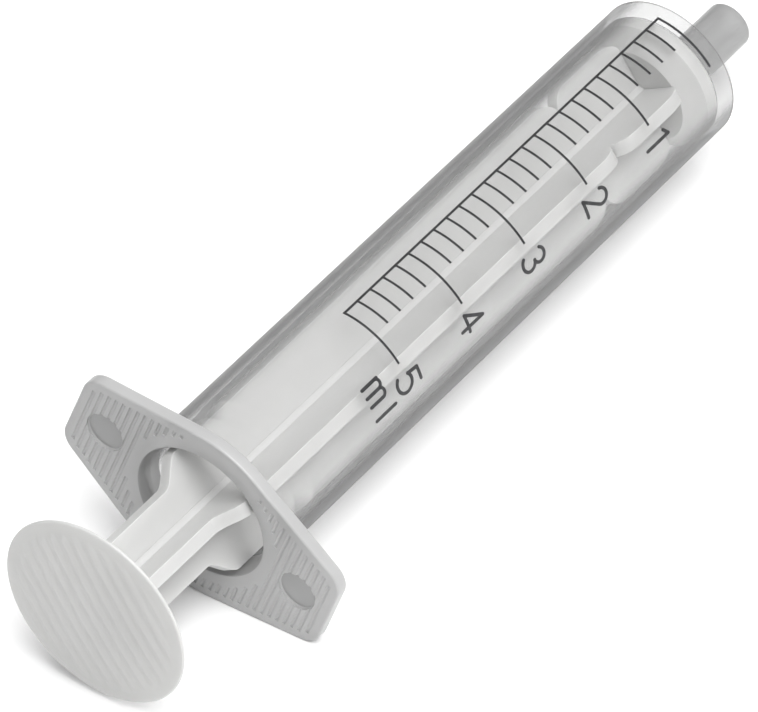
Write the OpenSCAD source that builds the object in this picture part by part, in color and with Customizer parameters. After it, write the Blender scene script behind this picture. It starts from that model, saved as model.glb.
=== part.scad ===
// Two-piece oral syringe of 5 ml: a clear barrel with a printed scale, and a white plunger.
// It lies on one long side of its finger flange. +X runs along the barrel to the nozzle, +Z is up.
//
// Each sub-part is drawn upright first, with its Z axis along the barrel, Z = 0 on the flange's
// thumb-side face and the nozzle at the top. lay_down() then turns it into the resting position.

/* [Barrel] */
// Outside diameter of the barrel at the flange
barrel_d_back = 14.1; // [13.6:0.1:15]
// Outside diameter of the barrel at its front, smaller for the mould's draft
barrel_d_front = 13.4; // [13:0.1:13.6]
// Length of the barrel from the flange's thumb-side face to its front face
barrel_l = 65; // [64.6:0.1:70]
// Thickness of the barrel's front wall
front_wall = 1.5; // [1:0.1:1.5]
// Radius of the rounded edge round the front face
front_edge = 0.5; // [0.4:0.1:1.2]
// Diameter of the bore
bore_d = 12.1; // [11.8:0.1:12.4]
// Diameter of the bore's mouth, where the lead-in starts
mouth_d = 12.8; // [12.4:0.1:13.2]
// Height of the bead inside the mouth that keeps the plunger in
bead_h = 0.15; // [0.05:0.05:0.2]
// Distance of that bead from the thumb-side face
bead_z = 6; // [2:0.5:8]

/* [Nozzle] */
// Outside diameter of the nozzle
nozzle_d = 4.2; // [4:0.02:4.4]
// Length of the nozzle beyond the barrel's front face
nozzle_l = 10.3; // [8:0.1:12]
// Distance of the nozzle's axis from the barrel's axis
nozzle_offset = 4; // [0:0.1:4.2]
// Diameter of the channel through the nozzle
channel_d = 2.1; // [1.6:0.1:2.4]

/* [Finger flange] */
// Length of the flange from ear to ear
flange_l = 27.3; // [24:0.1:30]
// Radius of the flange's round middle
flange_r = 9.1; // [8.6:0.1:10]
// Offset of that round middle from the barrel's axis, away from the scale
flange_shift = 0.45; // [0:0.05:0.6]
// Width of an ear's straight end, corners included
ear_w = 10.2; // [8:0.1:11]
// Radius of the ear's corners
ear_corner = 2.1; // [1.5:0.1:2.5]
// Thickness of the flange
flange_t = 1.2; // [1:0.1:1.6]
// Radius of the fillet between flange and barrel
flange_fillet = 0.6; // [0.3:0.1:0.8]
// Width of the smooth border round the grip grooves
border_w = 0.9; // [0.6:0.1:1.2]
// Outside diameter of the smooth ring round the mouth
ring_d = 15.2; // [14.6:0.1:16]
// Distance from one grip groove to the next
groove_pitch = 0.7; // [0.6:0.05:1]
// Width of a grip groove
groove_w = 0.35; // [0.2:0.05:0.5]
// Depth of a grip groove
groove_depth = 0.12; // [0.05:0.01:0.2]
// Diameter of the round dimple in each ear
dimple_d = 3.7; // [3:0.1:4]
// Depth of the dimple
dimple_depth = 0.3; // [0.1:0.1:0.5]
// Distance of the dimples from the barrel's axis
dimple_r = 10.3; // [9.8:0.1:10.6]

/* [Printed scale] */
// Volume at the last mark, in millilitres
scale_max = 5; // [5]
// Marks for each millilitre
marks_per_ml = 5; // [5]
// Distance of the zero mark from the thumb-side face
zero_z = 63.3; // [62.8:0.1:63.4]
// Width of the scale's lines
line_w = 0.21; // [0.15:0.01:0.3]
// Width of the strokes of the numerals
stroke_w = 0.3; // [0.2:0.01:0.36]
// Angle that a long mark spans round the barrel
major_span = 52.2; // [40:0.1:56]
// Angle that a short mark spans
minor_span = 26.6; // [15:0.1:35]
// Angle from the scale's line to the middle of a numeral
numeral_angle = 66.2; // [62:0.1:70]
// Height of a numeral
numeral_h = 3.1; // [2.6:0.1:3.4]
// Distance of a numeral's middle from its mark, towards the nozzle
numeral_rise = 0.1; // [0:0.1:0.4]
// Angle from the scale's line to the middle of the unit mark
unit_angle = 61; // [55:0.1:65]
// Distance of the unit mark's middle from the last mark, towards the flange
unit_drop = 3.4; // [3.2:0.1:4]
// Thickness of the ink that stands on the barrel
ink_t = 0.03; // [0.02:0.01:0.05]
// Depth to which the ink is keyed into the barrel
ink_key = 0.02; // [0.01:0.01:0.03]

/* [Plunger] */
// Diameter of the thumb rest
rest_d = 18; // [16:0.1:18.4]
// Thickness of the thumb rest
rest_t = 0.9; // [0.8:0.1:1.6]
// Distance of the thumb rest's outer face from the flange's thumb-side face, as it lies
rest_out = 14.8; // [14.8:0.1:40]
// Distance from one ridge of the thumb rest to the next
ridge_pitch = 1.29; // [1:0.01:1.6]
// Height of a ridge
ridge_h = 0.1; // [0.05:0.01:0.15]
// Thickness of the rod's four ribs
rib_t = 1.2; // [0.9:0.1:1.6]
// Width across two opposite ribs between the thumb rest and the flare
stem_w = 7.5; // [6:0.1:9]
// Width across two opposite ribs inside the bore
rib_w = 11.6; // [10.6:0.1:11.6]
// Distance from the thumb rest's outer face to the start of the flare
flare_start = 12.3; // [8:0.1:14]
// Length of the flare
flare_l = 2.8; // [1:0.1:4]
// Distance from the thumb rest's outer face to the notch across the ribs
notch_start = 66.6; // [60:0.1:68]
// Depth of that notch
notch_depth = 1.8; // [0.5:0.1:2.2]
// Depth by which the ribs' front ends draw in to the head
front_depth = 1.3; // [0.5:0.1:2]
// Length of the curve by which the ribs draw in towards the nozzle
nose_curve_l = 2.6; // [1:0.1:4]
// Length of the curve by which they widen again behind it
back_curve_l = 1.8; // [1:0.1:3]
// Diameter of the round core where the ribs cross
core_d = 2.4; // [2:0.1:3]
// Distance from the thumb rest's outer face to the head's rear face
head_start = 75.3; // [73:0.1:75.5]
// Length of the head's cone, which widens to the sealing lip
cone_l = 1.5; // [1:0.1:2]
// Length of the head from its rear face to its front face
head_l = 2.95; // [2.5:0.05:2.95]
// Running clearance between the head and the bore, on the radius
head_clearance = 0.03; // [0.02:0.01:0.08]
// Radius of the edge round the head's front face
head_edge = 0.4; // [0.2:0.1:0.6]

/* [Hidden] */
$fn = 96;
eps = 0.01;

bore_r = bore_d / 2;
back_r = barrel_d_back / 2;
front_r = barrel_d_front / 2;
bore_end = barrel_l - front_wall;
tip_z = barrel_l + nozzle_l;

// The bore sets the scale: one millilitre takes 1000 / (bore area) millimetres
ml_l = 1000 / (PI * bore_r * bore_r);
last_z = zero_z - scale_max * ml_l;

// Centre of an ear's corner, and the slope of the flange's long sides to the line of the ears.
// A side is tangent to the round middle and to an ear's corner.
corner_x = flange_l / 2 - ear_corner;
corner_y = ear_w / 2 - ear_corner;
side_run = corner_x;
side_rise = corner_y - flange_shift;
side_slope = asin((flange_r - ear_corner) / norm([side_run, side_rise])) - atan2(side_rise, side_run);

// Angles about the barrel's axis, counted from straight up
ears_angle = 90 + side_slope;
scale_angle = ears_angle - 110;
nozzle_angle = ears_angle + 90;
rib_angle = ears_angle + 37;

// Height of the barrel's axis when the flange lies on one long side
rest_height = flange_r + flange_shift * cos(side_slope);
middle_x = (tip_z - rest_out) / 2;

head_z = head_start - rest_out;
head_r = bore_r - head_clearance;
head_back_r = rib_w / 2 - front_depth;

plastic_clear = [0.86, 0.88, 0.9, 0.45];
plastic_white = [0.95, 0.95, 0.93];
ink_black = [0.08, 0.08, 0.09];

// Outside radius of the barrel at height z
function barrel_r(z) = back_r + (front_r - back_r) * z / barrel_l;

// Half of the width across the ribs at height z, with a smooth flare
function flare(s) = s <= 0 ? 0 : s >= 1 ? 1 : (1 - cos(180 * s)) / 2;
function rib_half(z) =
    stem_w / 2 + (rib_w - stem_w) / 2 * flare((z + rest_out - flare_start) / flare_l);

// Lays an upright sub-part on the flange's long side, with +X towards the nozzle
module lay_down() {
    translate([-middle_x, 0, rest_height])
        rotate(a = 180, v = [1, 0, 1])
            children();
}

// Outline of the flange, drawn in by an even inset
module flange_outline(inset = 0) {
    hull() {
        translate([0, -flange_shift])
            circle(flange_r - inset);
        for (x = [-corner_x, corner_x], y = [-corner_y, corner_y])
            translate([x, y])
                circle(ear_corner - inset, $fn = 32);
    }
}

// Grip grooves across the ears, clear of the border, the mouth's ring and the dimples
module grip_grooves() {
    groove_count = floor((flange_l / 2 - border_w) / groove_pitch);
    difference() {
        intersection() {
            translate([0, 0, -eps])
                linear_extrude(groove_depth + eps)
                    flange_outline(border_w);
            for (i = [-groove_count:groove_count])
                translate([i * groove_pitch - groove_w / 2, -flange_r - 1, -1])
                    cube([groove_w, 2 * flange_r + 2, 2]);
        }
        translate([0, 0, -1])
            cylinder(h = 2, d = ring_d);
    }
}

// Flange, with the ears along the upright X axis and the scale on the +Y side
module finger_flange() {
    difference() {
        linear_extrude(flange_t)
            flange_outline();
        grip_grooves();
        for (x = [-dimple_r, dimple_r])
            translate([x, 0, -1])
                cylinder(h = 1 + dimple_depth, d = dimple_d);
    }
}

// Solid outside of the tube, with its rounded front edge and the fillet at the flange
module tube_outside() {
    edge_z = barrel_l - front_edge;
    edge_r = barrel_r(edge_z) - front_edge;
    rotate_extrude() {
        polygon([
            [0, 0], [back_r, 0], [edge_r + front_edge, edge_z], [edge_r, edge_z],
            [edge_r, barrel_l], [0, barrel_l]
        ]);
        intersection() {
            translate([edge_r, edge_z])
                circle(front_edge);
            translate([edge_r, edge_z])
                square(front_edge + 1);
        }
        difference() {
            translate([back_r - 0.3, flange_t - eps])
                square([flange_fillet + 0.3, flange_fillet + eps]);
            translate([back_r + flange_fillet, flange_t + flange_fillet])
                circle(flange_fillet);
        }
    }
}

// Bead inside the mouth, a ring of round section
module mouth_bead() {
    bead_r = 0.35;
    rotate_extrude()
        translate([bore_r + bead_r - bead_h, bead_z])
            circle(bead_r, $fn = 48);
}

module nozzle_outside() {
    chamfer = 0.3;
    translate([nozzle_offset, 0, barrel_l - front_wall / 2])
        cylinder(h = nozzle_l + front_wall / 2 - chamfer, d = nozzle_d);
    translate([nozzle_offset, 0, tip_z - chamfer])
        cylinder(h = chamfer, d1 = nozzle_d, d2 = nozzle_d - 2 * chamfer);
}

module barrel() {
    lead_in = 0.6;
    color(plastic_clear)
        lay_down() {
            difference() {
                union() {
                    tube_outside();
                    rotate([0, 0, ears_angle + 180])
                        finger_flange();
                    rotate([0, 0, nozzle_angle])
                        nozzle_outside();
                }
                translate([0, 0, -1])
                    cylinder(h = bore_end + 1, d = bore_d);
                translate([0, 0, -eps])
                    cylinder(h = lead_in + eps, d1 = mouth_d, d2 = bore_d);
                rotate([0, 0, nozzle_angle])
                    translate([nozzle_offset, 0, bore_end - 1])
                        cylinder(h = nozzle_l + front_wall + 2, d = channel_d, $fn = 48);
            }
            mouth_bead();
        }
}

// One printed line round the barrel, from the scale's line at height z over an angle.
// from_angle is where it starts, counted from the scale's line.
module ink_band(low, high, from_angle, span) {
    rotate([0, 0, scale_angle + from_angle])
        rotate_extrude(angle = span)
            polygon([
                [barrel_r(low) - ink_key, low], [barrel_r(low) + ink_t, low],
                [barrel_r(high) + ink_t, high], [barrel_r(high) - ink_key, high]
            ]);
}

// Angle that the scale's line itself takes up
line_angle = line_w / front_r * 180 / PI;

module scale_line() {
    color(ink_black)
        lay_down()
            ink_band(last_z - line_w / 2, zero_z + line_w / 2, -line_angle / 2, line_angle);
}

// Long marks are the whole millilitres, short marks the ones between them
module marks(long) {
    for (i = [0:scale_max * marks_per_ml])
        if ((i % marks_per_ml == 0) == long) {
            z = zero_z - i * ml_l / marks_per_ml;
            span = long ? major_span : minor_span;
            ink_band(z - line_w / 2, z + line_w / 2, line_angle / 2, span - line_angle / 2);
        }
}

module major_graduations() {
    color(ink_black)
        lay_down()
            marks(true);
}

module minor_graduations() {
    color(ink_black)
        lay_down()
            marks(false);
}

// Straight stroke of a numeral, with round ends
module stroke(from, to) {
    run = to - from;
    translate(from)
        rotate(atan2(run[1], run[0]))
            translate([0, -stroke_w / 2])
                square([norm(run), stroke_w]);
    for (p = [from, to])
        translate(p)
            circle(d = stroke_w, $fn = 24);
}

// Curved stroke about a centre, from one angle to another
module curve(centre, r, from, to) {
    reach = 2 * r + 1;
    steps = 6;
    translate(centre) {
        intersection() {
            difference() {
                circle(r + stroke_w / 2, $fn = 48);
                circle(r - stroke_w / 2, $fn = 48);
            }
            polygon([
                [0, 0],
                for (i = [0:steps])
                    let (a = from + (to - from) * i / steps) reach * [cos(a), sin(a)]
            ]);
        }
        for (a = [from, to])
            translate(r * [cos(a), sin(a)])
                circle(d = stroke_w, $fn = 24);
    }
}

// Numerals 1 to 5, each about its own middle
module numeral(value) {
    if (value == 1) {
        stroke([0.1, -1.35], [0.1, 1.35]);
        stroke([0.1, 1.35], [-0.45, 0.95]);
    } else if (value == 2) {
        curve([0, 0.62], 0.68, -25, 165);
        stroke([0.54, 0.22], [-0.72, -1.3]);
        stroke([-0.72, -1.3], [0.8, -1.3]);
    } else if (value == 3) {
        curve([-0.05, 0.68], 0.62, -80, 150);
        curve([-0.05, -0.6], 0.7, -150, 82);
    } else if (value == 4) {
        stroke([0.35, -1.3], [0.35, 1.3]);
        stroke([0.35, 1.3], [-0.75, -0.5]);
        stroke([-0.75, -0.5], [0.8, -0.5]);
    } else {
        stroke([0.7, 1.3], [-0.45, 1.3]);
        stroke([-0.45, 1.3], [-0.55, 0.2]);
        curve([-0.05, -0.45], 0.85, -140, 128);
    }
}

module letter_m() {
    arch_r = 0.42;
    arch_y = 0.35;
    for (i = [-1:1])
        stroke([2 * i * arch_r, -1.25], [2 * i * arch_r, i < 0 ? 0.7 : arch_y]);
    for (i = [-1, 1])
        curve([i * arch_r, arch_y], arch_r, 0, 180);
}

module letter_l() {
    stroke([0, -1.25], [0, 1.35]);
}

// Presses a flat figure onto the barrel's outside as a thin layer of ink.
// The figure's own x runs round the barrel and its y runs to the nozzle.
module printed(angle, z) {
    reach = 4;
    low = z - reach;
    high = z + reach;
    intersection() {
        rotate([0, 0, scale_angle + angle])
            translate([0, 0, z])
                rotate([90, 0, 90])
                    linear_extrude(front_r + 2)
                        children();
        difference() {
            translate([0, 0, low])
                cylinder(h = high - low, r1 = barrel_r(low) + ink_t, r2 = barrel_r(high) + ink_t);
            translate([0, 0, low])
                cylinder(h = high - low, r1 = barrel_r(low) - ink_key, r2 = barrel_r(high) - ink_key);
        }
    }
}

module numerals() {
    drawn_h = 2.6 + stroke_w;
    color(ink_black)
        lay_down()
            for (value = [1:scale_max])
                printed(numeral_angle, zero_z - value * ml_l + numeral_rise)
                    scale([1, numeral_h / drawn_h])
                        numeral(value);
}

module unit_mark() {
    letter_gap = 12;
    color(ink_black)
        lay_down() {
            printed(unit_angle - letter_gap / 2, last_z - unit_drop)
                letter_m();
            printed(unit_angle + letter_gap, last_z - unit_drop)
                letter_l();
        }
}

// Head: a cone that widens to a sealing lip, with a flat front face
module plunger_head() {
    front_z = head_z + head_l;
    color(plastic_white)
        lay_down()
            rotate_extrude() {
                polygon([
                    [0, head_z], [head_back_r, head_z], [head_r, head_z + cone_l],
                    [head_r, front_z - head_edge], [head_r - head_edge, front_z - head_edge],
                    [head_r - head_edge, front_z], [0, front_z]
                ]);
                intersection() {
                    translate([head_r - head_edge, front_z - head_edge])
                        circle(head_edge, $fn = 48);
                    translate([head_r - head_edge, front_z - head_edge])
                        square(head_edge + 1);
                }
            }
}

// Curves that the ribs' outer edge follows, as lists of [distance from the axis, height].
// draw_in() ends at the given height and widen() starts there, both at the full depth.
function draw_in(z, depth) = [
    for (a = [0:15:90])
        [rib_w / 2 - depth * (1 - cos(a)), z - nose_curve_l * (1 - sin(a))]
];
function widen(z, depth) = [
    for (a = [15:15:90])
        [rib_w / 2 - depth * (1 - sin(a)), z + back_curve_l * (1 - cos(a))]
];

// Outline of a pair of opposite ribs, from the thumb rest to the head
module rib_outline() {
    flare_steps = 12;
    notch_z = notch_start - rest_out;
    flare_zs = [for (i = [0:flare_steps]) flare_start - rest_out + flare_l * i / flare_steps];
    side = [
        [stem_w / 2, -rest_out + rest_t / 2],
        for (z = flare_zs) [rib_half(z), z],
        each draw_in(notch_z, notch_depth),
        each widen(notch_z, notch_depth),
        each draw_in(head_z, front_depth)
    ];
    polygon(concat(side, [for (i = [len(side) - 1:-1:0]) [-side[i][0], side[i][1]]]));
}

// Thumb rest: a thin disc with a round edge and parallel ridges on its outer face
module thumb_rest() {
    face_z = -rest_out + ridge_h;
    disc_t = rest_t - ridge_h;
    edge_r = disc_t / 2;
    ridge_r = 0.45;
    ridge_field = rest_d / 2 - 1;
    ridge_count = floor(ridge_field / ridge_pitch);
    rotate_extrude() {
        translate([0, face_z])
            square([rest_d / 2 - edge_r, disc_t]);
        translate([rest_d / 2 - edge_r, face_z + edge_r])
            circle(edge_r, $fn = 48);
    }
    for (i = [-ridge_count:ridge_count]) {
        chord = 2 * sqrt(ridge_field * ridge_field - pow(i * ridge_pitch, 2));
        translate([0, i * ridge_pitch, -rest_out + ridge_r])
            rotate([0, 90, 0])
                cylinder(h = chord, r = ridge_r, center = true, $fn = 48);
    }
}

module plunger_rod() {
    color(plastic_white)
        lay_down()
            rotate([0, 0, rib_angle]) {
                thumb_rest();
                for (a = [0, 90])
                    rotate([90, 0, a])
                        linear_extrude(rib_t, center = true)
                            rib_outline();
                translate([0, 0, -rest_out + rest_t / 2])
                    cylinder(h = head_z + rest_out - rest_t / 2, d = core_d);
            }
}

barrel();
scale_line();
major_graduations();
minor_graduations();
numerals();
unit_mark();
plunger_head();
plunger_rod();
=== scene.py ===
"""Looks of a two-piece oral syringe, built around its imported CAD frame.

Pieces are drawn upright in millimetres: Z runs along the barrel, Z = 0 lies on the finger
flange's thumb-side face and the nozzle is at the top. LAY_DOWN then turns each one into the
frame, in metres, where the syringe lies on one long side of its flange.
"""

from math import atan2, asin, cos, degrees, hypot, pi, radians, sin, sqrt

import bmesh
import bpy
import numpy as np
from mathutils import Matrix, Vector


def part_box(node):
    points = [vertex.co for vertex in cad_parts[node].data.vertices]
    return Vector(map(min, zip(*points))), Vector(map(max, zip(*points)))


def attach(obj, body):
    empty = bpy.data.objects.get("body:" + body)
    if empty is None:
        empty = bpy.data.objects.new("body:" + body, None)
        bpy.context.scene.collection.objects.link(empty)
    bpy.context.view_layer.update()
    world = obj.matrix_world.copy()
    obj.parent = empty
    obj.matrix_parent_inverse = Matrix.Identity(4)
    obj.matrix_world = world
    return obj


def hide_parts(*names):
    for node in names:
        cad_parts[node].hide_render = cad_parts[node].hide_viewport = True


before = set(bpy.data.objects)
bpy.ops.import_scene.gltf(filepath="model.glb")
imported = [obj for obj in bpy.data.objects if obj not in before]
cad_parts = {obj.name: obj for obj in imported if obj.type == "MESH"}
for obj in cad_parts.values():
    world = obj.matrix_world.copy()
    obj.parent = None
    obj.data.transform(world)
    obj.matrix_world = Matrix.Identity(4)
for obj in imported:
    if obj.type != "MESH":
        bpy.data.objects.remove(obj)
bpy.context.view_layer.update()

# ---- Sizes that come from the frame, in millimetres ----
MM = 1000
barrel_low, barrel_high = (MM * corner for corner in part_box("barrel"))
head_low, head_high = (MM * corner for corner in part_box("plunger_head"))
rod_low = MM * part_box("plunger_rod")[0]

axis_height = (head_low.z + head_high.z) / 2
tip_z = barrel_high.x - barrel_low.x
head_z = head_low.x - barrel_low.x
head_front_z = head_high.x - barrel_low.x
head_r = (head_high.z - head_low.z) / 2
rest_out = barrel_low.x - rod_low.x

LAY_DOWN = Matrix.Scale(1 / MM, 4) @ Matrix(
    ((0, 0, 1, barrel_low.x), (0, -1, 0, 0), (1, 0, 0, axis_height), (0, 0, 0, 1))
)

# ---- Barrel ----
back_r, front_r = 7.05, 6.7
nozzle_l = 10.3
barrel_l = tip_z - nozzle_l
front_wall = 1.5
front_edge = 0.5
bore_r = 6.05
mouth_r = 6.4
lead_in, mouth_depth = 0.6, 2.4
bead_z, bead_h, bead_r = 6.0, 0.12, 8.0
bore_end = barrel_l - front_wall
bore_corner = 0.3
nozzle_r, nozzle_offset, channel_r = 2.1, 4.0, 1.05
nozzle_edge, nozzle_chamfer = 0.3, 0.15
mouth_edge = 0.2

# ---- Finger flange ----
flange_l, flange_r, flange_shift = 27.3, 9.1, 0.45
ear_w, ear_corner = 10.2, 2.1
flange_t, flange_edge, flange_fillet = 1.2, 0.2, 0.6
border_w, ring_r = 0.9, 7.6
groove_pitch, groove_w, groove_depth = 0.7, 0.35, 0.12
groove_brim, groove_shortest = 8, 0.3  # degrees of the scoop left off at each brim, and mm
dimple_r, dimple_at, dimple_depth, dimple_corner = 1.85, 10.3, 0.3, 0.1

# ---- Plunger ----
rest_r, rest_t, rest_dome = 9.0, 0.9, 0.45
ridge_pitch, ridge_h = 1.29, 0.1
ridge_margin, ridge_fade = 1.0, 0.5
rib_t, stem_half, rib_half_w = 1.2, 3.75, 5.8
flare_start, flare_l = 12.3, 2.8
notch_start, notch_depth, front_depth = 66.6, 1.8, 1.3
nose_curve_l, back_curve_l = 2.6, 1.8
core_r, rib_edge = 1.2, 0.15
cone_l, head_edge = 1.5, 0.4

# ---- Angles about the axis, counted from straight up ----
corner_x = flange_l / 2 - ear_corner
corner_y = ear_w / 2 - ear_corner
side_rise = corner_y - flange_shift
side_slope = asin((flange_r - ear_corner) / hypot(corner_x, side_rise)) - atan2(side_rise, corner_x)
ears_turn = pi / 2 + side_slope + pi
nozzle_turn = pi + side_slope
rib_turn = pi / 2 + side_slope + radians(37)

ROUND = 288  # points of a ring round the axis
PAST = 1.0  # how far a cutting tool reaches past what it cuts
SHARP_ANGLE = radians(32)

# Material slots of the barrel: its tube, its flange, its darker grey faces (painted shade in the
# dimples and inside the mouth, with the nozzle greyed the same way) and its front wall
TUBE, FLANGE, PAINTED_SHADE, FRONT = range(4)


# ---- Mesh tools ----
def arc(centre, r, start, end, steps):
    """Points of an arc in a section, from start to end in degrees."""
    turns = [radians(start + (end - start) * i / steps) for i in range(steps + 1)]
    return [(centre[0] + r * cos(a), centre[1] + r * sin(a)) for a in turns]


def link(name, mesh):
    obj = bpy.data.objects.new(name, mesh)
    bpy.context.scene.collection.objects.link(obj)
    return obj


def tidy_normals(mesh):
    shape = bmesh.new()
    shape.from_mesh(mesh)
    bmesh.ops.recalc_face_normals(shape, faces=shape.faces)
    shape.to_mesh(mesh)
    shape.free()


def solid(name, points, faces):
    """Object from points and faces, with its faces turned outwards."""
    mesh = bpy.data.meshes.new(name)
    mesh.from_pydata([tuple(p) for p in points], [], faces)
    tidy_normals(mesh)
    return link(name, mesh)


def skin(name, section, count=ROUND, centre=(0, 0), lift=None):
    """Closed surface round the Z axis through a section of (reach, z) steps.

    A reach is one distance or one for each direction, and 0 closes an end. lift(x, y, z)
    gives the height that each point moves by.
    """
    turn = np.arange(count) * 2 * pi / count
    points, faces, before = [], [], None
    for reach, z in section:
        if np.isscalar(reach) and reach == 0:
            ring = np.array([[0.0, 0.0, z]])
        else:
            ring = np.column_stack(
                (reach * np.cos(turn), reach * np.sin(turn), np.full(count, float(z)))
            )
        if lift is not None:
            ring[:, 2] += lift(ring[:, 0], ring[:, 1], ring[:, 2])
        start = len(points)
        points.extend(ring + (centre[0], centre[1], 0))
        if before is not None:
            first, size = before
            for i in range(count):
                j = (i + 1) % count
                corners = [
                    first + i % size,
                    first + j % size,
                    start + j % len(ring),
                    start + i % len(ring),
                ]
                faces.append(list(dict.fromkeys(corners)))
        before = (start, len(ring))
    return solid(name, points, faces)


def prism_faces(count):
    """Faces of a prism whose two outlines have count points each."""
    ends = [list(range(count)), list(range(2 * count - 1, count - 1, -1))]
    sides = [[i, (i + 1) % count, count + (i + 1) % count, count + i] for i in range(count)]
    return ends + sides


def plate(name, outline, thickness, edge):
    """Upright plate with that (x, z) outline, centred on y = 0, with rounded edges."""
    half = thickness / 2
    points = [(x, y, z) for y in (-half, half) for x, z in outline]
    slab = solid(name, points, prism_faces(len(outline)))
    bevel = slab.modifiers.new("edge", "BEVEL")
    bevel.width, bevel.segments = edge, 3
    bevel.limit_method, bevel.angle_limit = "ANGLE", radians(50)
    return bake(slab)


def bake(obj):
    """Applies an object's modifiers."""
    graph = bpy.context.evaluated_depsgraph_get()
    mesh = bpy.data.meshes.new_from_object(obj.evaluated_get(graph))
    obj.modifiers.clear()
    old, obj.data = obj.data, mesh
    bpy.data.meshes.remove(old)
    return obj


def combine(obj, tool, operation):
    """Adds or cuts tool, which is then removed."""
    step = obj.modifiers.new("combine", "BOOLEAN")
    step.operation, step.solver, step.object = operation, "EXACT", tool
    bake(obj)
    bpy.data.objects.remove(tool)
    return obj


def join(name, objects):
    """One object from several, with their meshes side by side."""
    shape = bmesh.new()
    for obj in objects:
        shape.from_mesh(obj.data)
        bpy.data.objects.remove(obj)
    mesh = bpy.data.meshes.new(name)
    shape.to_mesh(mesh)
    shape.free()
    return link(name, mesh)


def finish_shape(obj):
    """Lays a piece down into the frame and shades it smooth up to SHARP_ANGLE."""
    shape = bmesh.new()
    shape.from_mesh(obj.data)
    bmesh.ops.remove_doubles(shape, verts=shape.verts, dist=1e-4)
    bmesh.ops.recalc_face_normals(shape, faces=shape.faces)
    for face in shape.faces:
        face.smooth = True
    for edge in shape.edges:
        edge.smooth = len(edge.link_faces) == 2 and edge.calc_face_angle(pi) < SHARP_ANGLE
    shape.to_mesh(obj.data)
    shape.free()
    obj.data.transform(LAY_DOWN)
    weights = obj.modifiers.new("normals", "WEIGHTED_NORMAL")
    weights.keep_sharp = True
    return obj


# ---- Finger flange's outline ----
FLANGE_CIRCLES = [(0, -flange_shift, flange_r)] + [
    (x, y, ear_corner) for x in (-corner_x, corner_x) for y in (-corner_y, corner_y)
]
NORMALS = np.linspace(0, 2 * pi, 2880, endpoint=False)
SUPPORT = np.max(
    [x * np.cos(NORMALS) + y * np.sin(NORMALS) + r for x, y, r in FLANGE_CIRCLES], axis=0
)


def outline_reach(inset):
    """Distance from the axis to the flange's outline, drawn in by inset, for each ring point."""
    reach = []
    for turn in np.arange(ROUND) * 2 * pi / ROUND - ears_turn:
        along = np.cos(NORMALS - turn)
        facing = along > 0.05
        reach.append(np.min((SUPPORT[facing] - inset) / along[facing]))
    return np.array(reach)


def outline_side(x, inset, side):
    """Y of the flange's outline at x, on the side +1 or -1, in the flange's own axes."""
    across = side * np.sin(NORMALS)
    facing = across > 0.05
    return side * np.min((SUPPORT - inset - x * np.cos(NORMALS))[facing] / across[facing])


def groove_spans(x):
    """(start, end) in y of each groove at x, clear of the border and of the mouth's ring."""
    low, high = (outline_side(x, border_w, side) for side in (-1, 1))
    if abs(x) >= ring_r:
        return [(low, high)]
    ring = sqrt(ring_r**2 - x**2)
    spans = [(low, -ring), (ring, high)]
    return [(start, end) for start, end in spans if end - start > groove_shortest]


def groove_cutters():
    """Round-bottomed grooves across the ears, with a short upright wall at each brim."""
    scoop_r = (groove_w**2 / 4 + groove_depth**2) / (2 * groove_depth)
    reach = degrees(asin(groove_w / 2 / scoop_r)) - groove_brim
    scoop = arc((0, groove_depth - scoop_r), scoop_r, 90 - reach, 90 + reach, 6)
    section = scoop + [(scoop[-1][0], -PAST), (scoop[0][0], -PAST)]
    count = int((flange_l / 2 - border_w) / groove_pitch)
    tools = []
    for i in range(-count, count + 1):
        x = i * groove_pitch
        for span in groove_spans(x):
            points = [(x + sx, y, sz) for y in span for sx, sz in section]
            tools.append(solid("groove", points, prism_faces(len(section))))
    return join("grooves", tools)


def spin(obj, turn):
    obj.data.transform(Matrix.Rotation(turn, 4, "Z"))
    return obj


# ---- Barrel: tube, flange and nozzle, one moulding ----
def barrel_r(z):
    return back_r + (front_r - back_r) * z / barrel_l


def barrel_section():
    """From the bore's end, out of the mouth, round the flange and up the outside."""
    bead_out = bore_r + bead_r - bead_h
    bead_half = degrees(asin((bead_out - bore_r) / bead_r))
    edge_z = barrel_l - front_edge
    edge_r = barrel_r(edge_z) - front_edge
    corner = (bore_r - bore_corner, bore_end - bore_corner)
    section = [(0, bore_end)]
    section += arc(corner, bore_corner, 90, 0, 6)
    section += arc((bead_out, bead_z), bead_r, 90 + bead_half, 270 - bead_half, 8)
    section += [(bore_r, mouth_depth), (bore_r, lead_in)]
    section += arc((mouth_r + mouth_edge / 2, mouth_edge), mouth_edge, 205, 270, 5)
    section += [(ring_r, 0)]
    for a in range(-90, 1, 15):
        inset = flange_edge * (1 - cos(radians(a)))
        section.append((outline_reach(inset), flange_edge * (1 + sin(radians(a)))))
    for a in range(0, 91, 15):
        inset = flange_edge * (1 - cos(radians(a)))
        section.append((outline_reach(inset), flange_t - flange_edge * (1 - sin(radians(a)))))
    fillet = (back_r + flange_fillet, flange_t + flange_fillet)
    section += arc(fillet, flange_fillet, 270, 180, 8)
    section += arc((edge_r, edge_z), front_edge, 0, 90, 10)
    section += [(0, barrel_l)]
    return section


def barrel_zone(centre):
    """Material slot of the barrel's face at that point."""
    out = hypot(centre.x, centre.y)
    # Dimple floors, the inside of the mouth and the nozzle take the darker grey slot, which is painted
    # shade in the dimples and the mouth.
    in_dimple = abs(out - dimple_at) < dimple_r and abs(centre.z - dimple_depth) < 0.01
    in_mouth = out < mouth_r and centre.z < mouth_depth
    if in_dimple or in_mouth or centre.z > barrel_l + 0.01:
        return PAINTED_SHADE
    if min(abs(centre.z - bore_end), abs(centre.z - barrel_l)) < 0.01:
        return FRONT
    return FLANGE if centre.z < flange_t + flange_fillet else TUBE


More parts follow.
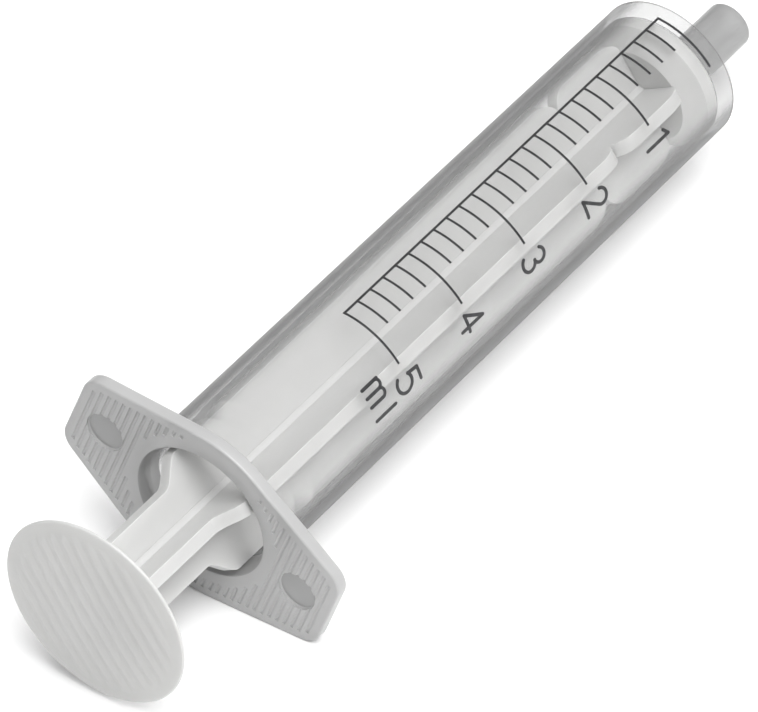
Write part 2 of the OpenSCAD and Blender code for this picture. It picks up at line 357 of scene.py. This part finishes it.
def make_barrel():
    barrel = skin("barrel_shell", barrel_section())
    at_nozzle = (nozzle_offset * cos(nozzle_turn), nozzle_offset * sin(nozzle_turn))
    root_z = bore_end + 0.5
    lip = (nozzle_r - nozzle_edge, tip_z - nozzle_edge)
    nozzle_section = [(0, root_z), (nozzle_r, root_z)] + arc(lip, nozzle_edge, 0, 90, 6) + [(0, tip_z)]
    channel_section = [
        (0, bore_end - PAST),
        (channel_r, bore_end - PAST),
        (channel_r, tip_z - nozzle_chamfer),
        (channel_r + nozzle_chamfer, tip_z),
        (channel_r + nozzle_chamfer, tip_z + PAST),
        (0, tip_z + PAST),
    ]
    dimple_section = [
        (0, -PAST),
        (dimple_r, -PAST),
        (dimple_r, dimple_depth - dimple_corner),
        (dimple_r - dimple_corner, dimple_depth),
        (0, dimple_depth),
    ]
    dimples = [skin("dimple", dimple_section, 64, (x, 0)) for x in (-dimple_at, dimple_at)]
    combine(barrel, skin("nozzle", nozzle_section, 96, at_nozzle), "UNION")
    combine(barrel, skin("channel", channel_section, 96, at_nozzle), "DIFFERENCE")
    combine(barrel, spin(join("dimples", dimples), ears_turn), "DIFFERENCE")
    combine(barrel, spin(groove_cutters(), ears_turn), "DIFFERENCE")
    for face in barrel.data.polygons:
        face.material_index = barrel_zone(face.center)
    return finish_shape(barrel)


# ---- Plunger ----
def flare():
    """Points where a rib widens smoothly from the stem to its full reach."""
    shares = [i / 24 for i in range(25)]
    widths = [stem_half + (rib_half_w - stem_half) * (1 - cos(pi * share)) / 2 for share in shares]
    return [(w, flare_start - rest_out + flare_l * share) for w, share in zip(widths, shares)]


def draw_in(z, depth):
    """Points of a quarter oval that narrows a rib by depth, up to z."""
    turns = [radians(a) for a in range(0, 91, 6)]
    return [(rib_half_w - depth * (1 - cos(a)), z - nose_curve_l * (1 - sin(a))) for a in turns]


def widen(z, depth):
    """Points of a quarter oval that widens a rib by depth again, from z."""
    turns = [radians(a) for a in range(6, 91, 6)]
    return [(rib_half_w - depth * (1 - sin(a)), z + back_curve_l * (1 - cos(a))) for a in turns]


def rib_side():
    """Outer edge of a rib as (distance from the axis, z), from the thumb rest to the head."""
    notch_z = notch_start - rest_out
    back = [(stem_half, rest_t / 2 - rest_out)]
    notch = draw_in(notch_z, notch_depth) + widen(notch_z, notch_depth)
    return back + flare() + notch + draw_in(head_z, front_depth)


def rest_lift(x, y, z):
    """How far points of the thumb rest's outer face move in z, for its dome and its ridges."""
    out = np.hypot(x, y)
    across = np.abs((y / ridge_pitch + 0.5) % 1 - 0.5) * 2
    fade = np.clip((rest_r - ridge_margin - out) / ridge_fade, 0, 1)
    ridge = ridge_h * np.clip(1 - 2 * across**2, 0, 1) * fade
    on_face = z < -rest_out + ridge_h + 1e-4
    return (rest_dome * (out / rest_r) ** 2 - ridge) * on_face


def make_rod():
    side = rib_side()
    outline = side + [(-x, z) for x, z in reversed(side)]
    rod = plate("plunger_rod_ribs", outline, rib_t, rib_edge)
    combine(rod, spin(plate("cross", outline, rib_t, rib_edge), pi / 2), "UNION")
    low = rest_t / 2 - rest_out
    core_section = [(0, low), (core_r, low), (core_r, head_z), (0, head_z)]
    combine(rod, skin("core", core_section, 64), "UNION")
    top_z = rest_t - rest_out
    edge_r = (rest_t - ridge_h - rest_dome) / 2
    face = [(r * (rest_r - edge_r) / 60, ridge_h - rest_out) for r in range(60)]
    rim = arc((rest_r - edge_r, top_z - edge_r), edge_r, 270, 450, 16)
    combine(rod, skin("disc", face + rim + [(0, top_z)], 240, lift=rest_lift), "UNION")
    return finish_shape(spin(rod, rib_turn))


def make_head():
    section = [(0, head_z), (rib_half_w - front_depth, head_z), (head_r, head_z + cone_l)]
    section += arc((head_r - head_edge, head_front_z - head_edge), head_edge, 0, 90, 8)
    section += [(0, head_front_z)]
    return finish_shape(skin("plunger_seal", section, 192))


# ---- Materials ----
# How the barrel's plastic changes with slant, from 0 for a surface seen head on to 1 for one
# seen edge on.
VEIL_SLANT = (0.2, 0.9)
DIM_SLANT = (0.45, 0.76)
SHINE, SHINE_POWER, SHINE_ROUGHNESS = (0.02, 0.22), 5, 0.16


def material(name):
    """New material, its node tree and its Principled shader."""
    made = bpy.data.materials.new(name)
    made.use_nodes = True
    return made, made.node_tree, made.node_tree.nodes["Principled BSDF"]


def noise(tree, scale, detail=2.0):
    """Fac socket of a noise in the object's own metres; scale is in waves a metre."""
    where = tree.nodes.new("ShaderNodeTexCoord")
    made = tree.nodes.new("ShaderNodeTexNoise")
    made.inputs["Scale"].default_value = scale
    made.inputs["Detail"].default_value = detail
    tree.links.new(where.outputs["Object"], made.inputs["Vector"])
    return made.outputs["Fac"]


def spread(tree, fac, low, high):
    """Socket that runs from low to high over the middle of a noise."""
    made = tree.nodes.new("ShaderNodeMapRange")
    made.inputs["From Min"].default_value = 0.3
    made.inputs["From Max"].default_value = 0.7
    made.inputs["To Min"].default_value = low
    made.inputs["To Max"].default_value = high
    tree.links.new(fac, made.inputs["Value"])
    return made.outputs["Result"]


def tint(tree, fac, first, second):
    """Colour socket between two colours, by a noise."""
    made = tree.nodes.new("ShaderNodeValToRGB")
    made.color_ramp.elements[0].position = 0.3
    made.color_ramp.elements[0].color = (*first, 1)
    made.color_ramp.elements[1].position = 0.7
    made.color_ramp.elements[1].color = (*second, 1)
    tree.links.new(fac, made.inputs["Fac"])
    return made.outputs["Color"]


def bump(tree, shader, fac, height, strength):
    """Fine relief on a shader, with its height in metres."""
    made = tree.nodes.new("ShaderNodeBump")
    made.inputs["Strength"].default_value = strength
    made.inputs["Distance"].default_value = height
    tree.links.new(fac, made.inputs["Height"])
    tree.links.new(made.outputs["Normal"], shader.inputs["Normal"])


def ramp(tree, value, low, high, start, end):
    """Socket that runs smoothly from start to end as a value goes from low to high."""
    made = tree.nodes.new("ShaderNodeMapRange")
    made.interpolation_type = "SMOOTHSTEP"
    made.inputs["From Min"].default_value = low
    made.inputs["From Max"].default_value = high
    made.inputs["To Min"].default_value = start
    made.inputs["To Max"].default_value = end
    tree.links.new(value, made.inputs["Value"])
    return made.outputs["Result"]


def blend(tree, share, first, second):
    """Shader socket that mixes two shaders, with share as the second one's part."""
    made = tree.nodes.new("ShaderNodeMixShader")
    tree.links.new(share, made.inputs["Fac"])
    tree.links.new(first, made.inputs[1])
    tree.links.new(second, made.inputs[2])
    return made.outputs["Shader"]


def clear_plastic(name, haze, grey, clearness, see_through):
    """Hazy polypropylene: a straight view through it, in a veil that thickens at the edges.

    haze is the veil's part head on and at a grazing angle, grey its colour, clearness the
    part of the veil that lets light on, and see_through the tint of the straight view at a
    grazing angle.
    """
    made, tree, shader = material(name)
    tree.links.new(
        tint(tree, noise(tree, 220), [grey] * 3, [grey * 1.05] * 3),
        shader.inputs["Base Color"],
    )
    shader.inputs["Transmission Weight"].default_value = clearness
    shader.inputs["IOR"].default_value = 1.49
    tree.links.new(spread(tree, noise(tree, 300), 0.28, 0.36), shader.inputs["Roughness"])
    bump(tree, shader, noise(tree, 500, 1.0), 0.00002, 0.15)

    slant = tree.nodes.new("ShaderNodeLayerWeight")
    slant.inputs["Blend"].default_value = 0.5
    facing = slant.outputs["Facing"]
    straight = tree.nodes.new("ShaderNodeBsdfTransparent")
    dim = tree.nodes.new("ShaderNodeCombineColor")
    for channel in ("Red", "Green", "Blue"):
        tree.links.new(ramp(tree, facing, *DIM_SLANT, 1.0, see_through), dim.inputs[channel])
    tree.links.new(dim.outputs["Color"], straight.inputs["Color"])
    veil = ramp(tree, facing, *VEIL_SLANT, *haze)
    body = blend(tree, veil, straight.outputs["BSDF"], shader.outputs["BSDF"])

    gloss = tree.nodes.new("ShaderNodeBsdfGlossy")
    gloss.inputs["Roughness"].default_value = SHINE_ROUGHNESS
    rise = tree.nodes.new("ShaderNodeMath")
    rise.operation = "POWER"
    rise.inputs[1].default_value = SHINE_POWER
    tree.links.new(facing, rise.inputs[0])
    shine = tree.nodes.new("ShaderNodeMapRange")
    shine.inputs["To Min"].default_value, shine.inputs["To Max"].default_value = SHINE
    tree.links.new(rise.outputs["Value"], shine.inputs["Value"])
    surface = blend(tree, shine.outputs["Result"], body, gloss.outputs["BSDF"])
    tree.links.new(surface, tree.nodes["Material Output"].inputs["Surface"])
    return made


def white_plastic():
    made, tree, shader = material("white_polyethylene")
    tree.links.new(
        tint(tree, noise(tree, 90), (0.51, 0.51, 0.505), (0.55, 0.55, 0.545)),
        shader.inputs["Base Color"],
    )
    tree.links.new(spread(tree, noise(tree, 700), 0.34, 0.46), shader.inputs["Roughness"])
    shader.inputs["Subsurface Weight"].default_value = 0.5
    shader.inputs["Subsurface Radius"].default_value = (1, 1, 0.95)
    shader.inputs["Subsurface Scale"].default_value = 0.0012
    shader.inputs["IOR"].default_value = 1.51
    bump(tree, shader, noise(tree, 5000), 0.00001, 0.4)
    return made


def black_ink():
    made, tree, shader = material("black_ink")
    tree.links.new(
        tint(tree, noise(tree, 3000), (0.008, 0.008, 0.009), (0.03, 0.03, 0.033)),
        shader.inputs["Base Color"],
    )
    tree.links.new(spread(tree, noise(tree, 2500), 0.35, 0.6), shader.inputs["Roughness"])
    bump(tree, shader, noise(tree, 9000), 0.00001, 0.5)
    return made


def floor_material():
    made, tree, shader = material("pale_floor")
    shader.inputs["Base Color"].default_value = (0.93, 0.93, 0.93, 1)
    shader.inputs["Roughness"].default_value = 0.85
    shader.inputs["Specular IOR Level"].default_value = 0.2
    return made


# ---- Pieces ----
BARREL_PAINTS = {
    TUBE: clear_plastic("clear_polypropylene", (0.03, 0.4), 0.38, 0.5, 0.34),
    FLANGE: clear_plastic("clear_polypropylene_thick", (0.85, 0.95), 0.5, 0.2, 0.35),
    # Darker grey veil: painted shade in the dimples and inside the mouth, and a greyer nozzle.
    PAINTED_SHADE: clear_plastic("clear_polypropylene_painted_shade", (0.85, 0.95), 0.34, 0.2, 0.35),
    FRONT: clear_plastic("clear_polypropylene_milky", (0.3, 0.5), 0.55, 0.4, 0.5),
}
WHITE, INK = white_plastic(), black_ink()


def dress(obj, paints, body, node):
    """Paints a piece, sets the body it rides on and hides the CAD node it stands for."""
    for paint in paints:
        obj.data.materials.append(paint)
    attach(obj, body)
    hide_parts(node)


barrel_paints = [BARREL_PAINTS[zone] for zone in (TUBE, FLANGE, PAINTED_SHADE, FRONT)]
dress(make_barrel(), barrel_paints, "barrel", "barrel")
dress(make_rod(), [WHITE], "plunger_rod", "plunger_rod")
dress(make_head(), [WHITE], "plunger_head", "plunger_head")
for node in ("scale_line", "major_graduations", "minor_graduations", "numerals", "unit_mark"):
    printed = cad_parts[node]
    printed.data.materials.clear()
    printed.data.materials.append(INK)

# ---- Floor ----
floor_size = 6.0
half_floor = floor_size / 2
floor_mesh = bpy.data.meshes.new("floor")
floor_mesh.from_pydata(
    [(x * half_floor, y * half_floor, 0) for x, y in ((-1, -1), (1, -1), (1, 1), (-1, 1))],
    [],
    [(0, 1, 2, 3)],
)
floor_mesh.materials.append(floor_material())
link("floor", floor_mesh)

# ---- Light: a soft sky that is brightest towards SKY_TOP, and one softbox ----
SKY_TOP = Vector((0.5, -0.3, 0.8)).normalized()
sky_dark, sky_bright, sky_dark_to = 0.1, 0.95, -0.3
key_azimuth, key_elevation, key_distance, key_size, key_power = -22, 62, 1.2, 0.8, 15.5

world = bpy.data.worlds.new("studio")
world.use_nodes = True
sky = world.node_tree
look = sky.nodes.new("ShaderNodeTexCoord")
lean = sky.nodes.new("ShaderNodeVectorMath")
lean.operation = "DOT_PRODUCT"
lean.inputs[1].default_value = SKY_TOP
sky.links.new(look.outputs["Generated"], lean.inputs[0])
glow = sky.nodes.new("ShaderNodeMapRange")
glow.inputs["From Min"].default_value = sky_dark_to
glow.inputs["To Min"].default_value = sky_dark
glow.inputs["To Max"].default_value = sky_bright
sky.links.new(lean.outputs["Value"], glow.inputs["Value"])
sky.links.new(glow.outputs["Result"], sky.nodes["Background"].inputs["Strength"])
sky.nodes["Background"].inputs["Color"].default_value = (1, 1, 1, 1)
bpy.context.scene.world = world


def toward(azimuth, elevation):
    """Unit vector from the object at an azimuth (0 is -Y, 90 is +X) and elevation."""
    a, e = radians(azimuth), radians(elevation)
    return Vector((sin(a) * cos(e), -cos(a) * cos(e), sin(e)))


def place(obj, centre, back, distance, roll=0):
    """Puts a lamp or camera out along back from centre, looking at it and rolled by degrees."""
    obj.location = centre + back * distance
    obj.rotation_mode = "QUATERNION"
    aim = back.to_track_quat("Z", "Y")
    obj.rotation_quaternion = aim @ Matrix.Rotation(radians(roll), 4, "Z").to_quaternion()
    bpy.context.scene.collection.objects.link(obj)


lamp = bpy.data.lights.new("key", "AREA")
lamp.size, lamp.energy = key_size, key_power
place(
    bpy.data.objects.new("key", lamp),
    Vector((0, 0, 0)),
    toward(key_azimuth, key_elevation),
    key_distance,
)

# ---- Camera ----
camera_azimuth, camera_elevation, camera_roll = -49.452, 41.866, -5.566
camera_aim, camera_distance = Vector((-0.00797, -0.0016, 0.01036)), 1.5572

camera = bpy.data.objects.new("camera", bpy.data.cameras.new("camera"))
camera.data.sensor_width = 36
camera.data.lens = 901.9
place(
    camera, camera_aim, toward(camera_azimuth, camera_elevation), camera_distance, camera_roll
)
bpy.context.scene.camera = camera
bpy.context.scene.view_settings.view_transform = "Standard"
